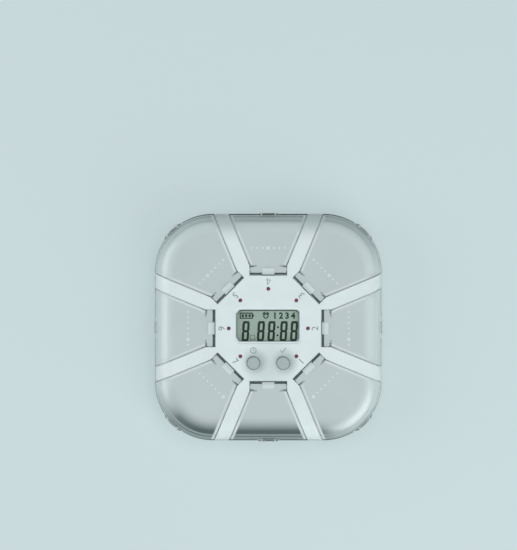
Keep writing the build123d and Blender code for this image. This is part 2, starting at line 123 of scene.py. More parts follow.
def placesOnTop(tree, shadeTurn=90.0):
    # millimetre distances seen from above, folded so that one lid's axis stands for all eight:
    # out from the hub, aside of the lid's axis, from the nearest spoke's centre, in from the outline;
    # front and endways tell how far the place lies towards shadeTurn, and towards front or back
    place = addNode(tree, "ShaderNodeTexCoord").outputs["Object"]
    inMm = addNode(tree, "ShaderNodeVectorMath", {"operation": "SCALE"}, {"Scale": 1 / mm}, {0: place})
    height = addNode(tree, "ShaderNodeSeparateXYZ", links={0: inMm.outputs[0]}).outputs["Z"]
    flat = addNode(tree, "ShaderNodeVectorMath", {"operation": "MULTIPLY"}, {1: (1.0, 1.0, 0.0)},
                   {0: inMm.outputs[0]})
    split = addNode(tree, "ShaderNodeSeparateXYZ", links={0: flat.outputs[0]})
    reach = addNode(tree, "ShaderNodeVectorMath", {"operation": "LENGTH"}, links={0: flat.outputs[0]})
    turn = addNode(tree, "ShaderNodeMath", {"operation": "ARCTAN2"},
                   links={0: split.outputs["Y"], 1: split.outputs["X"]})
    fold = addNode(tree, "ShaderNodeMath", {"operation": "PINGPONG"}, {1: rimOutline["halfLid"]},
                   {0: turn.outputs[0]})
    left = addNode(tree, "ShaderNodeMath", {"operation": "SUBTRACT"}, {0: rimOutline["halfLid"]},
                   {1: fold.outputs[0]})
    at = {"place": place, "height": height}
    for way, angle, share in (("out", fold, "COSINE"), ("aside", fold, "SINE"), ("spoke", left, "SINE")):
        part = addNode(tree, "ShaderNodeMath", {"operation": share}, links={0: angle.outputs[0]})
        at[way] = addNode(tree, "ShaderNodeMath", {"operation": "MULTIPLY"},
                          links={0: reach.outputs["Value"], 1: part.outputs[0]}).outputs[0]
    outward = addNode(tree, "ShaderNodeVectorMath", {"operation": "NORMALIZE"}, links={0: flat.outputs[0]})
    towards = (math.cos(math.radians(shadeTurn)), math.sin(math.radians(shadeTurn)), 0.0)
    at["front"] = addNode(tree, "ShaderNodeVectorMath", {"operation": "DOT_PRODUCT"}, {1: towards},
                          {0: outward.outputs[0]}).outputs["Value"]
    outwardY = addNode(tree, "ShaderNodeSeparateXYZ", links={0: outward.outputs[0]}).outputs["Y"]
    at["endways"] = addNode(tree, "ShaderNodeMath", {"operation": "ABSOLUTE"},
                            links={0: outwardY}).outputs[0]
    straight = rimOutline["halfWidth"] - rimOutline["corner"]
    bare = addNode(tree, "ShaderNodeVectorMath", {"operation": "ABSOLUTE"}, links={0: flat.outputs[0]})
    past = addNode(tree, "ShaderNodeVectorMath", {"operation": "SUBTRACT"}, {1: (straight, straight, 0.0)},
                   {0: bare.outputs[0]})
    outside = addNode(tree, "ShaderNodeVectorMath", {"operation": "MAXIMUM"}, {1: (0.0, 0.0, 0.0)},
                      {0: past.outputs[0]})
    fromCorner = addNode(tree, "ShaderNodeVectorMath", {"operation": "LENGTH"},
                         links={0: outside.outputs[0]})
    at["edge"] = addNode(tree, "ShaderNodeMath", {"operation": "SUBTRACT"}, {0: rimOutline["corner"]},
                         {1: fromCorner.outputs["Value"]}).outputs[0]
    return at


# what the finishes share: where the clouds begin and end, how far the gloss wanders, the coat's
# roughness, and in mm how high a full grain stands and how deep light goes into a pale plastic
common = {"cloudSpan": (0.3, 0.7), "glossSpread": 0.04, "coatRoughness": 0.08, "grainRise": 0.02,
          "scatterDepth": 0.6}


def mottled(tree, place, look, detail=3.0):
    # faint clouds between two close colours: the tone and the clouds
    cloud = addNode(tree, "ShaderNodeTexNoise", links={"Vector": place},
                    inputs={"Scale": 1 / (look["mottleSize"] * mm), "Detail": detail})
    start, end = common["cloudSpan"]
    colours = addNode(tree, "ShaderNodeValToRGB", links={"Fac": cloud.outputs["Fac"]},
                      stops=[(start, linearFromHex(look["shade"])), (end, linearFromHex(look["colour"]))])
    return colours.outputs["Color"], cloud.outputs["Fac"]


def grained(tree, place, look, detail=2.0):
    # the normal of a surface with a fine grain
    grain = addNode(tree, "ShaderNodeTexNoise", links={"Vector": place},
                    inputs={"Scale": 1 / (look["grainSize"] * mm), "Detail": detail})
    bump = addNode(tree, "ShaderNodeBump",
                   inputs={"Strength": look["grainDepth"], "Distance": common["grainRise"] * mm},
                   links={"Height": grain.outputs["Fac"]})
    return bump.outputs["Normal"]


def evenFinish(name, look):
    # one even finish, as of moulded plastic, ink or plate: faint mottling and a fine grain; the hub's
    # extra keys add painted shade round its button dishes, at its spoke ends and in its hinge gaps
    material, tree, surface = startMaterial(name)
    place = addNode(tree, "ShaderNodeTexCoord").outputs["Object"]
    tone, cloud = mottled(tree, place, look)
    # painted shade round the button dishes and on the deck between them
    for centre, steps in look.get("dishShades", []):
        around = levelAround(tree, place, centre, steps)
        tone = paintOver(tree, tone, {"colour": look["dishShadeColour"]}, {}, [around])[0]
    # painted shade on the spokes' outer ends at the back, and painted shadow in the hinge gaps below gapTop
    if "ends" in look:
        at = placesOnTop(tree)
        tone = paintOver(tree, tone, look["ends"], at)[0]
        low = addNode(tree, "ShaderNodeMath", {"operation": "LESS_THAN"}, {1: look["gapTop"]},
                      {0: at["height"]})
        tone = paintOver(tree, tone, look["gap"], at, [low.outputs[0]])[0]
    gloss = addNode(tree, "ShaderNodeMapRange",
                    inputs={"To Min": look["roughness"] - common["glossSpread"],
                            "To Max": look["roughness"] + common["glossSpread"]}, links={"Value": cloud})
    shader = addNode(tree, "ShaderNodeBsdfPrincipled",
                     inputs={"IOR": look.get("ior", 1.5), "Alpha": look.get("alpha", 1.0),
                             "Metallic": look.get("metallic", 0.0), "Coat Weight": look.get("coat", 0.0),
                             "Coat Roughness": common["coatRoughness"],
                             "Subsurface Weight": look.get("scatter", 0.0),
                             "Subsurface Scale": common["scatterDepth"] * mm},
                     links={"Base Color": tone, "Roughness": gloss.outputs["Result"],
                            "Normal": grained(tree, place, look)})
    tree.links.new(shader.outputs[0], surface)
    return material


# white ABS, moulded satin: soft highlights, a touch of light inside
satinAbs = {"colour": "dde9ea", "shade": "d8e4e5", "roughness": 0.36, "mottleSize": 14, "grainSize": 0.35,
            "grainDepth": 0.12, "scatter": 0.08}
whiteAbs = evenFinish("whiteAbsSatin", satinAbs)
# the hub of the same ABS, with painted shade: its deck a little greyer in front, where it dips round the
# buttons and at their rims; spokes painted greyer at their outer ends at the back, and painted shadow in
# the hinge gaps below gapTop
buttonShade = {"deck": (1.0, -24.0), "deckSteps": [(0.0, 0.35), (6.0, 0.32), (12.0, 0.18), (20.0, 0.0)],
        "place": (9.9, -23.2), "shift": (1.2, 1.0), "rimShift": 0.2,
        "steps": [(0.0, 0.75), (4.6, 0.75), (6.4, 0.45), (8.8, 0.1), (10.5, 0.0)],
        "rimSteps": [(0.0, 0.9), (4.5, 0.9), (5.1, 0.0), (8.0, 0.0)]}
dishShades = [(buttonShade["deck"], buttonShade["deckSteps"])]
for sideways in (-1, 1):
    x, y = sideways * buttonShade["place"][0], buttonShade["place"][1]
    dishShades.append(((x + buttonShade["shift"][0], y + buttonShade["shift"][1]), buttonShade["steps"]))
    dishShades.append(((x - buttonShade["rimShift"], y + buttonShade["rimShift"]), buttonShade["rimSteps"]))
hubAbs = evenFinish("hubAbsSatin", {
    **satinAbs, "dishShades": dishShades, "dishShadeColour": "a5b4b4",
    # painted shade on the spokes' outer ends at the back
    "ends": {"colour": "a9b8b9", "edge": [(0.0, 0.6), (4.0, 0.5), (9.0, 0.35), (18.0, 0.0)],
             "front": [(0.0, 0.0), (0.8, 0.0), (0.9, 1.0), (1.0, 1.0)]},
    # painted shadow in the hinge gaps
    "gap": {"colour": "6c7a7b", "out": [(0.0, 0.0), (35.4, 0.0), (35.6, 1.0), (48.0, 1.0)],
            "aside": [(0.0, 1.0), (12.2, 1.0), (12.6, 0.0), (24.0, 0.0)]},
    "gapTop": 26.6})
# the same ABS with a coarser eroded texture, as on an underside
whiteAbsMatt = evenFinish("whiteAbsTextured", {
    "colour": "dce2e3", "shade": "d4dbdc", "roughness": 0.55, "mottleSize": 18, "grainSize": 0.5,
    "grainDepth": 0.35})
# grey ABS caps from a bead blasted mould: dull, with a fine grain
greyAbs = evenFinish("greyAbsMatt", {
    "colour": "a9b6b6", "shade": "a2afaf", "roughness": 0.5, "mottleSize": 6, "grainSize": 0.3,
    "grainDepth": 0.3})
# soft pads, quite dull, that pick up dust
padRubber = evenFinish("padElastomer", {
    "colour": "b4babb", "shade": "a3aaab", "roughness": 0.75, "mottleSize": 4, "grainSize": 0.25,
    "grainDepth": 0.5})
# dyed epoxy lamp body: deep red with a wet looking dome
redEpoxy = evenFinish("redEpoxyLamp", {
    "colour": "863a4b", "shade": "703041", "roughness": 0.12, "mottleSize": 2, "grainSize": 0.5,
    "grainDepth": 0.05, "ior": 1.55, "coat": 0.6})
# display cell under its polariser: greenish grey and satin
displayGround = evenFinish("displayPolariser", {
    "colour": "a9beb3", "shade": "a4b9ae", "roughness": 0.35, "mottleSize": 20, "grainSize": 0.2,
    "grainDepth": 0.1})
# liquid crystal that is switched on: nearly black, and duller than the ground as it lies under the film
crystalDark = evenFinish("displayCrystal", {
    "colour": "0d2418", "shade": "0a1f14", "roughness": 0.4, "mottleSize": 4, "grainSize": 0.2,
    "grainDepth": 0.1, "ior": 1.3})
# the same where it is only half on
crystalFaint = evenFinish("displayCrystalFaint", {
    "colour": "4e6459", "shade": "495f54", "roughness": 0.4, "mottleSize": 4, "grainSize": 0.2,
    "grainDepth": 0.1})
# cast acrylic, polished: hardly seen but for its reflections
windowAcrylic = evenFinish("polishedAcrylic", {
    "colour": "7b8a82", "shade": "7b8a82", "roughness": 0.06, "mottleSize": 30, "grainSize": 1.0,
    "grainDepth": 0.0, "alpha": 0.07, "ior": 1.49})
# pad printing ink: flat and a little rougher than the plastic under it
greyInk = evenFinish("padPrintInk", {
    "colour": "8c9b9e", "shade": "849396", "roughness": 0.6, "mottleSize": 1.5, "grainSize": 0.12,
    "grainDepth": 0.4})
# painted shadow round the window: darker than the print, and smoother
frameShadow = evenFinish("frameShadowPaint", {
    "colour": "4a5b56", "shade": "455651", "roughness": 0.55, "mottleSize": 3, "grainSize": 0.15,
    "grainDepth": 0.3})
# and a pale one on the lids, which shows only faintly there
paleInk = evenFinish("palePrintInk", {
    "colour": "d0dbdd", "shade": "cbd7d8", "roughness": 0.6, "mottleSize": 1.5, "grainSize": 0.12,
    "grainDepth": 0.4})
# glass fibre board under solder mask: glossy green over the weave
solderMask = evenFinish("solderMask", {
    "colour": "1d6b42", "shade": "185c38", "roughness": 0.3, "mottleSize": 3, "grainSize": 0.4,
    "grainDepth": 0.1})
# filled epoxy and glass filled nylon: black and dull
blackEpoxy = evenFinish("blackEpoxy", {
    "colour": "202223", "shade": "18191a", "roughness": 0.5, "mottleSize": 3, "grainSize": 0.3,
    "grainDepth": 0.3})
# zinc plate, bright passivated: metal with a soft, slightly uneven shine
zincPlate = evenFinish("zincPlate", {
    "colour": "c3c6c8", "shade": "aeb2b5", "roughness": 0.32, "mottleSize": 1.2, "grainSize": 0.2,
    "grainDepth": 0.25, "metallic": 1.0})
# nickel on spring wire and contact strip: a warmer, brighter metal
nickelPlate = evenFinish("nickelPlate", {
    "colour": "cbc5ba", "shade": "b9b2a6", "roughness": 0.24, "mottleSize": 1.5, "grainSize": 0.15,
    "grainDepth": 0.15, "metallic": 1.0})
# layered silicone strip, pale pink with dark carbon layers too fine to see
stripSilicone = evenFinish("layeredSilicone", {
    "colour": "d8a9b0", "shade": "c7959d", "roughness": 0.6, "mottleSize": 0.8, "grainSize": 0.2,
    "grainDepth": 0.3})


def cellSleeve(look):
    # varnished paper-thin sleeve on a battery cell, bare steel at both ends
    material, tree, surface = startMaterial("cellSleeve")
    place = addNode(tree, "ShaderNodeTexCoord").outputs["Object"]
    split = addNode(tree, "ShaderNodeSeparateXYZ", links={0: place})
    fromMiddle = addNode(tree, "ShaderNodeMath", {"operation": "ABSOLUTE"}, links={0: split.outputs["X"]})
    bare = addNode(tree, "ShaderNodeMath", {"operation": "GREATER_THAN"}, {1: look["sleeveHalf"] * mm},
                   {0: fromMiddle.outputs[0]})
    along = addNode(tree, "ShaderNodeMapRange",
                    inputs={"From Min": -look["sleeveHalf"] * mm, "From Max": look["sleeveHalf"] * mm},
                    links={"Value": split.outputs["X"]})
    plain, band = linearFromHex(look["sleeve"]), linearFromHex(look["band"])
    start, end = look["bandSpan"]
    bands = addNode(tree, "ShaderNodeValToRGB", links={"Fac": along.outputs["Result"]},
                    stops=[(0.0, plain), (start - look["blur"], plain), (start, band), (end, band),
                           (end + look["blur"], plain)])
    tone = paintOver(tree, bands.outputs["Color"], {"colour": look["steel"]}, {}, [bare.outputs[0]])[0]
    shader = addNode(tree, "ShaderNodeBsdfPrincipled",
                     inputs={"Roughness": look["roughness"], "Coat Weight": look["coat"]},
                     links={"Base Color": tone, "Metallic": bare.outputs[0],
                            "Normal": grained(tree, place, look, 4.0)})
    tree.links.new(shader.outputs[0], surface)
    return material


# printed sleeve with one paler band: slate blue under varnish, with fine scratches
sleeve = cellSleeve({"sleeve": "3d5a66", "band": "8fa3a8", "steel": "b9bcbe", "sleeveHalf": 21.4,
                     "bandSpan": (0.75, 0.92), "blur": 0.01, "roughness": 0.28, "coat": 0.3,
                     "grainSize": 0.6, "grainDepth": 0.1})


def frostedMoulding(name, look):
    # polystyrene lid: frosted where flat, polished and see-through on the shoulder and at the edges
    material, tree, surface = startMaterial(name)
    at = placesOnTop(tree, look["shadeTurn"])
    at["beyond"] = addNode(tree, "ShaderNodeMath", {"operation": "MULTIPLY"}, {1: -1.0},
                           {0: at["edge"]}).outputs[0]
    isTab = addNode(tree, "ShaderNodeMath", {"operation": "LESS_THAN"}, {1: look["tabFrom"]},
                    {0: at["edge"]}).outputs[0]
    tone = mottled(tree, at["place"], look)[0]
    share = {}
    # painted layers among these: shade at the front, along the fold, in the slits, at the tabs' ends and
    # slots; highlights on the shoulder and beside the spokes
    for layer in ("shoulder", "frontShade", "fold", "margin", "slitShade", "tongue", "tab", "tabEndShade", "tabSlotShadow"):
        more = [isTab] if layer in ("tab", "tabEndShade") else []
        tone, share[layer] = paintOver(tree, tone, look[layer], at, more)
    gloss = addNode(tree, "ShaderNodeMapRange",
                    inputs={"To Min": look["roughness"], "To Max": look["shoulderRoughness"]},
                    links={"Value": share["shoulder"]})
    solid = addNode(tree, "ShaderNodeMapRange",
                    inputs={"To Min": look["alpha"], "To Max": look["shoulderAlpha"]},
                    links={"Value": share["shoulder"]})
    side = addNode(tree, "ShaderNodeMath", {"operation": "MULTIPLY"},
                   links={0: share["margin"], 1: levelAlong(tree, at["spoke"], look["sideSteps"])})
    opacity = solid.outputs["Result"]
    for where, change in ((share["frontShade"], 1 - look["shoulderAlpha"]), (share["tongue"], 1 - look["alpha"]),
                          (side.outputs[0], look["sideAlpha"] - look["alpha"]),
                          (isTab, look["tabAlpha"] - look["shoulderAlpha"]),
                          (share["tabSlotShadow"], 1 - look["tabAlpha"])):
        opacity = addNode(tree, "ShaderNodeMath", {"operation": "MULTIPLY_ADD", "use_clamp": True},
                          {1: change}, {0: where, 2: opacity}).outputs[0]
    polish = addNode(tree, "ShaderNodeMath", {"operation": "MULTIPLY"}, {1: look["coat"]},
                     {0: share["shoulder"]})
    shader = addNode(tree, "ShaderNodeBsdfPrincipled",
                     inputs={"IOR": look["ior"], "Coat Roughness": look["coatRoughness"]},
                     links={"Base Color": tone, "Roughness": gloss.outputs["Result"],
                            "Coat Weight": polish.outputs[0], "Alpha": opacity,
                            "Normal": grained(tree, at["place"], look)})
    tree.links.new(shader.outputs[0], surface)
    return material


# polystyrene lids, frosted on the flat: grey and even there, glossy on the shoulder, with painted shade
# there at the front
aboveRim = [(0.0, 0.0), (19.2, 0.0), (20.6, 1.0), (40.0, 1.0)]
frontAndBack = [(0.0, 0.12), (0.45, 0.2), (0.66, 0.65), (0.93, 1.0), (1.0, 1.0)]
frostedLid = frostedMoulding("frostedPolystyrene", {
    "colour": "ccd8da", "shade": "c8d4d6", "mottleSize": 30, "grainSize": 0.5, "grainDepth": 0.12,
    "ior": 1.59, "roughness": 0.44, "shoulderRoughness": 0.28, "coat": 0.65, "coatRoughness": 0.2,
    "alpha": 0.82, "shoulderAlpha": 0.66, "tabAlpha": 0.6, "sideAlpha": 0.45, "shadeTurn": 261.0,
    # the shoulder is polished and clearer, and painted paler as a painted highlight
    "shoulder": {"colour": "e4f2f2", "edge": [(0.0, 1.0), (7.0, 1.0), (12.0, 0.0), (14.0, 0.0)]},
    # painted shade: the light comes from both sides, so the shoulder is painted dark at the front and left
    # clear elsewhere
    "frontShade": {"colour": "4a5a5d", "height": aboveRim,
              "edge": [(0.0, 0.95), (0.9, 0.95), (1.3, 0.6), (1.9, 0.65), (2.3, 1.0), (2.8, 1.0),
                       (3.2, 0.4), (3.8, 0.4), (4.4, 0.98), (6.5, 0.98), (8.0, 0.85), (10.0, 0.62),
                       (12.5, 0.26), (15.5, 0.0)],
              "front": [(0.0, 0.0), (0.62, 0.0), (0.74, 0.4), (0.81, 0.9), (0.9, 1.0), (1.0, 1.0)]},
    # painted shade: the rim's fold is painted as dark lines along the front and the back
    "fold": {"colour": "42524f", "height": aboveRim, "endways": frontAndBack,
             "edge": [(0.0, 0.7), (1.1, 0.7), (1.6, 0.35), (3.2, 0.3), (3.7, 0.5), (4.2, 0.15),
                      (6.0, 0.0)]},
    # beside the spokes the lid is painted pale, a painted highlight, and the skirts that drop there are
    # clear
    "margin": {"colour": "e4eeef", "spoke": [(0.0, 0.9), (6.2, 0.85), (7.2, 0.0), (12.0, 0.0)],
               "out": [(0.0, 0.0), (41.0, 0.0), (43.0, 1.0), (90.0, 1.0)]},
    "sideSteps": [(0.0, 1.0), (5.2, 1.0), (5.8, 0.0), (12.0, 0.0)],
    # painted shade: soft grey lines where the hinge's lugs are cut free
    "slitShade": {"colour": "8a9899",
             "out": [(0.0, 0.0), (40.9, 0.0), (41.3, 0.8), (41.9, 0.8), (42.4, 0.0), (60.0, 0.0)],
             "aside": [(0.0, 0.0), (7.2, 0.0), (8.0, 0.9), (12.4, 1.0), (12.8, 0.0), (20.0, 0.0)]},
    # the tongue at the hinge is thick, and looks paler
    "tongue": {"colour": "cddadb",
               "out": [(0.0, 0.0), (35.6, 0.2), (37.0, 0.35), (38.2, 0.95), (39.9, 0.95), (40.4, 0.0),
                       (48.0, 0.0)],
               "aside": [(0.0, 1.0), (3.7, 1.0), (4.3, 0.0), (12.0, 0.0)]},
    # the finger tabs, past the outline, are clear, with painted shade at their ends and painted shadow in
    # the slot behind the bar
    "tabFrom": -0.1,
    "tab": {"colour": "e4eeef"},
    "tabEndShade": {"colour": "42524f", "endways": frontAndBack,
               "aside": [(0.0, 0.0), (4.8, 0.0), (5.4, 1.0), (7.6, 1.0), (8.4, 0.0), (12.0, 0.0)]},
    "tabSlotShadow": {"colour": "42524f",
                "beyond": [(0.0, 0.0), (0.12, 1.0), (1.05, 1.0), (1.3, 0.0), (4.0, 0.0)],
                "aside": [(0.0, 1.0), (4.0, 1.0), (4.6, 0.0), (12.0, 0.0)],
                "endways": [(0.0, 0.3), (0.5, 0.4), (0.68, 0.9), (0.93, 1.0), (1.0, 1.0)]}})


def clearMoulding(name, look):
    # polystyrene tray, mould polished: a wall seen flat lets the light through, one seen along looks
    # solid, and so do the ribs under the spokes and the bead of the rim
    material, tree, surface = startMaterial(name)
    at = placesOnTop(tree)
    tone, cloud = mottled(tree, at["place"], look, 2.0)
    # painted shade along the rim's bead
    tone, rim = paintOver(tree, tone, look["rim"], at)
    grazing = addNode(tree, "ShaderNodeLayerWeight", inputs={"Blend": look["blend"]})
    solid = addNode(tree, "ShaderNodeMapRange",
                    inputs={"To Min": look["alpha"], "To Max": look["edgeAlpha"]},
                    links={"Value": grazing.outputs["Facing"]})
    opacity = solid.outputs["Result"]
    for firmer in (levelAlong(tree, at["spoke"], look["ribSteps"]), rim):
        opacity = addNode(tree, "ShaderNodeMath", {"operation": "MAXIMUM"},
                          links={0: opacity, 1: firmer}).outputs[0]
    flow = addNode(tree, "ShaderNodeBump",
                   inputs={"Strength": look["flowDepth"], "Distance": look["flowRise"] * mm},
                   links={"Height": cloud})
    shader = addNode(tree, "ShaderNodeBsdfPrincipled",
                     inputs={"IOR": look["ior"], "Roughness": look["roughness"],
                             "Coat Weight": look["coat"], "Coat Roughness": look["coatRoughness"]},
                     links={"Base Color": tone, "Alpha": opacity, "Normal": flow.outputs["Normal"]})
    tree.links.new(shader.outputs[0], surface)
    return material


# polystyrene tray, polished mould: clear, with pale walls where they are seen along their length
clearTray = clearMoulding("clearPolystyrene", {
    "colour": "dde8e9", "shade": "d6e2e3", "mottleSize": 25, "flowDepth": 0.15, "flowRise": 0.1,
    "ior": 1.59, "roughness": 0.1, "coat": 0.3, "coatRoughness": 0.05,
    "alpha": 0.4, "edgeAlpha": 0.95, "blend": 0.3,
    "ribSteps": [(0.0, 0.85), (5.6, 0.85), (6.2, 0.0), (12.0, 0.0)],
    # the rim turns over into a bead, painted with a dark line of painted shade that is deepest along the
    # front and the back
    "rim": {"colour": "3c4b49", "height": [(0.0, 0.0), (15.6, 0.0), (16.2, 1.0), (40.0, 1.0)],
            "edge": [(0.0, 1.0), (0.6, 1.0), (1.2, 0.0), (4.0, 0.0)],
            "endways": [(0.0, 0.3), (0.5, 0.35), (0.7, 0.65), (0.93, 0.95), (1.0, 0.95)],
            "spoke": [(0.0, 0.15), (4.2, 0.15), (5.2, 1.0), (12.0, 1.0)]}})

finishOf = {
    "lid_": frostedLid, "tray": clearTray, "top_frame": hubAbs, "electronics_tub": whiteAbsMatt,
    "battery_cover": whiteAbsMatt, "button_": greyAbs, "lamp_": redEpoxy, "foot_": padRubber,
    "battery_cell": sleeve, "battery_springs": nickelPlate, "battery_plates": nickelPlate,
    "tub_screws": zincPlate, "board_screws": zincPlate, "circuit_board": solderMask,
    "switch_": blackEpoxy, "control_chip": blackEpoxy, "display_window": windowAcrylic,
    "display_glass": displayGround, "display_holder": whiteAbs, "contact_strips": stripSilicone,
    "speaker": zincPlate}
for nodeName, node in nodes.items():
    match = [key for key in finishOf if nodeName.startswith(key)]
    node.data.materials.clear()
    node.data.materials.append(finishOf[max(match, key=len)])
print("materials on", len(nodes), "nodes")


def bar(start, end, width):
    # a straight stroke with square ends, half a width past its two points, as one flat outline
    along = (Vector(end) - Vector(start)).normalized() * width / 2
    aside = Vector((-along.y, along.x))
    corners = [Vector(start) - along - aside, Vector(end) + along - aside,
               Vector(end) + along + aside, Vector(start) - along + aside]
    return [tuple(corner) for corner in corners]


def ring(centre, radius, width, steps, first=0.0, sweep=360.0):
    # a round stroke, as flat outlines side by side
    outlines = []
    for step in range(steps):
        turns = [math.radians(first + sweep * (step + end) / steps) for end in (0, 1)]
        inner = [(centre[0] + (radius - width / 2) * math.cos(turn),
                  centre[1] + (radius - width / 2) * math.sin(turn)) for turn in turns]
        outer = [(centre[0] + (radius + width / 2) * math.cos(turn),
                  centre[1] + (radius + width / 2) * math.sin(turn)) for turn in turns]
        outlines.append([inner[0], outer[0], outer[1], inner[1]])
    return outlines


def disc(centre, radius, steps=28):
    turns = [2 * math.pi * step / steps for step in range(steps)]
    return [(centre[0] + radius * math.cos(turn), centre[1] + radius * math.sin(turn)) for turn in turns]


def turned(outlines, angle):
    # outlines drawn upright beside the front edge, turned round the hub with their tops towards it
    rotation = Matrix.Rotation(math.radians(angle + 90), 2)
    return [[tuple(rotation @ Vector(point)) for point in outline] for outline in outlines]


def layMarks(name, outlines, height, thickness, material, body):
    # thin closed plates over flat outlines in millimetres, such as printing or display segments
    mesh = bpy.data.meshes.new(name)
    shape = bmesh.new()
    for outline in outlines:
        shape.faces.new([shape.verts.new((x * mm, y * mm, height * mm)) for x, y in outline])
    bmesh.ops.remove_doubles(shape, verts=shape.verts[:], dist=0.002 * mm)
    raised = bmesh.ops.extrude_face_region(shape, geom=shape.faces[:], use_keep_orig=True)
    upper = [item for item in raised["geom"] if isinstance(item, bmesh.types.BMVert)]
    bmesh.ops.translate(shape, verts=upper, vec=(0.0, 0.0, thickness * mm))
    bmesh.ops.recalc_face_normals(shape, faces=shape.faces[:])
    shape.to_mesh(mesh)
    shape.free()
    mesh.materials.append(material)
    marks = bpy.data.objects.new(name, mesh)
    bpy.context.scene.collection.objects.link(marks)
    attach(marks, body)


def layNumber(name, text, look, place, height, angle, material):
    # printed number as a text object
    curve = bpy.data.curves.new(name, "FONT")
    curve.body = text
    curve.size = look["letterHeight"] / look["capShare"] * mm
    curve.align_x = "CENTER"
    curve.align_y = "CENTER"
    curve.offset = look["weight"] * mm
    curve.extrude = look["thickness"] / 2 * mm
    curve.resolution_u = 6
    curve.materials.append(material)
    number = bpy.data.objects.new(name, curve)
    number.location = Vector((place[0], place[1], height + look["thickness"] / 2)) * mm
    number.rotation_euler.z = math.radians(angle + 90)
    bpy.context.scene.collection.objects.link(number)
    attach(number, "housing")


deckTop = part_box("top_frame")[1][2] / mm
dayAngles = [315 + 45 * day for day in range(7)]  # day 1 at the front right, then anticlockwise

# numbers printed beside the lamps, with their feet outwards; the typeface's 4 fills in at this size, so
# that one is drawn open: a stem, a bar to each side, and a slope with its two ends given in strokes
dayNumber = {"letterHeight": 4.5, "capShare": 0.73, "weight": 0.03, "thickness": 0.02, "radius": 31.3,
             "fourWidth": 3.1, "fourStem": 2.0, "fourBar": 1.05, "stroke": 0.42, "slopeEnds": (1.3, 1.5)}
tall, wide, stem = (dayNumber[key] for key in ("letterHeight", "fourWidth", "fourStem"))
stroke, barLow = dayNumber["stroke"], dayNumber["fourBar"]
slopeFoot, slopeHead = (share * stroke for share in dayNumber["slopeEnds"])
barHigh = barLow + stroke
four = [[(stem, 0), (stem + stroke, 0), (stem + stroke, tall), (stem, tall)],
        [(0, barLow), (stem, barLow), (stem, barHigh), (0, barHigh)],
        [(stem + stroke, barLow), (wide, barLow), (wide, barHigh), (stem + stroke, barHigh)],
        [(0, barHigh), (slopeFoot, barHigh), (stem, tall - slopeHead), (stem, tall)]]
four = [[(x - wide / 2, y - tall / 2 - dayNumber["radius"]) for x, y in part] for part in four]
for day, angle in enumerate(dayAngles, 1):
    if day == 4:
        layMarks("dayNumber4", turned(four, angle), deckTop, dayNumber["thickness"], greyInk, "housing")
        continue
    turn = math.radians(angle)
    layNumber("dayNumber" + str(day), str(day), dayNumber,
              (dayNumber["radius"] * math.cos(turn), dayNumber["radius"] * math.sin(turn)), deckTop, angle,
              greyInk)
print("numbers 1 to 7 on the hub")

# what the two buttons do, as signs: a clock face, and a tick; hands are in shares of the clock's radius
sign = {"place": (9.9, -14.7), "height": 4.2, "stroke": 0.5, "thickness": 0.02, "hands": (0.6, 0.5),
        "handStroke": 0.4, "handGap": 0.4, "tick": ((-1.7, -0.1), (-0.6, -1.3), (1.8, 1.6))}
signX, signY = sign["place"]
signRadius = (sign["height"] - sign["stroke"]) / 2
upHand, sideHand = (share * signRadius for share in sign["hands"])
clockSign = ring((-signX, signY), signRadius, sign["stroke"], 28)
clockSign.append(bar((-signX, signY), (-signX, signY + upHand), sign["handStroke"]))
clockSign.append(bar((-signX + sign["handGap"], signY), (-signX + sideHand, signY), sign["handStroke"]))
tickStart, tickTurn, tickEnd = [(signX + x, signY + y) for x, y in sign["tick"]]
for name, outlines in (("setSign", clockSign), ("confirmSign", [bar(tickTurn, tickEnd, sign["stroke"])]),
                       ("confirmSignFoot", [bar(tickStart, tickTurn, sign["stroke"])])):
    layMarks(name, outlines, deckTop, sign["thickness"], greyInk, "housing")
print("signs above the buttons")

# on each day's lid a row of seven dots, the day's own one larger, on the flat of the lid
dayRow = {"radius": 53.5, "count": 7, "span": 22.0, "dot": 0.7, "own": 1.2, "thickness": 0.03,
          "lidTop": 29.4}
for day, angle in enumerate(dayAngles, 1):
    dots = []
    for count in range(dayRow["count"]):
        aside = dayRow["span"] * (count / (dayRow["count"] - 1) - 0.5)
        dots.append(disc((aside, -dayRow["radius"]), dayRow["own"] if count == day - 1 else dayRow["dot"]))
    layMarks("dayRow" + str(day), turned(dots, angle), dayRow["lidTop"], dayRow["thickness"], paleInk,
             "lid_" + str(day))
print("rows of dots on the lids")


def segmentEight(left, low, look):
    # the seven bars of one digit, all on, leaning with the row
    width, height, stroke, gap = look["width"], look["height"], look["stroke"], look["gap"]
    half = stroke / 2
    middle = height / 2
    flat = [(gap, 0), (gap + half, half), (width - gap - half, half), (width - gap, 0),
            (width - gap - half, -half), (gap + half, -half)]
    outlines = []
    for at in (half, middle, height - half):
        outlines.append([(x, y + at) for x, y in flat])
    reach = (height - stroke) / 2 - 2 * gap
    upright = [(0, 0), (half, half), (half, reach - half), (0, reach), (-half, reach - half), (-half, half)]
    for x in (half, width - half):
        for y in (half + gap, middle + gap):
            outlines.append([(x + px, y + py) for px, py in upright])
    lean = math.tan(math.radians(look["lean"]))
    return [[(left + x + lean * y, low + y) for x, y in outline] for outline in outlines]


# display: the main row of digits and its colon
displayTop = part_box("display_glass")[1][2] / mm
digit = {"width": 4.9, "height": 13.5, "stroke": 1.62, "gap": 0.06, "lean": 3.7, "low": -8.8,
         "lefts": (-17.95, -7.8, -0.8, 7.35, 14.25), "thickness": 0.03,
         "colon": ((6.1, 4.0), (6.4, 9.4)), "colonRadius": 0.7}
segments = []
for left in digit["lefts"]:
    segments += segmentEight(left, digit["low"], digit)
colon = [disc((x, digit["low"] + y), digit["colonRadius"]) for x, y in digit["colon"]]

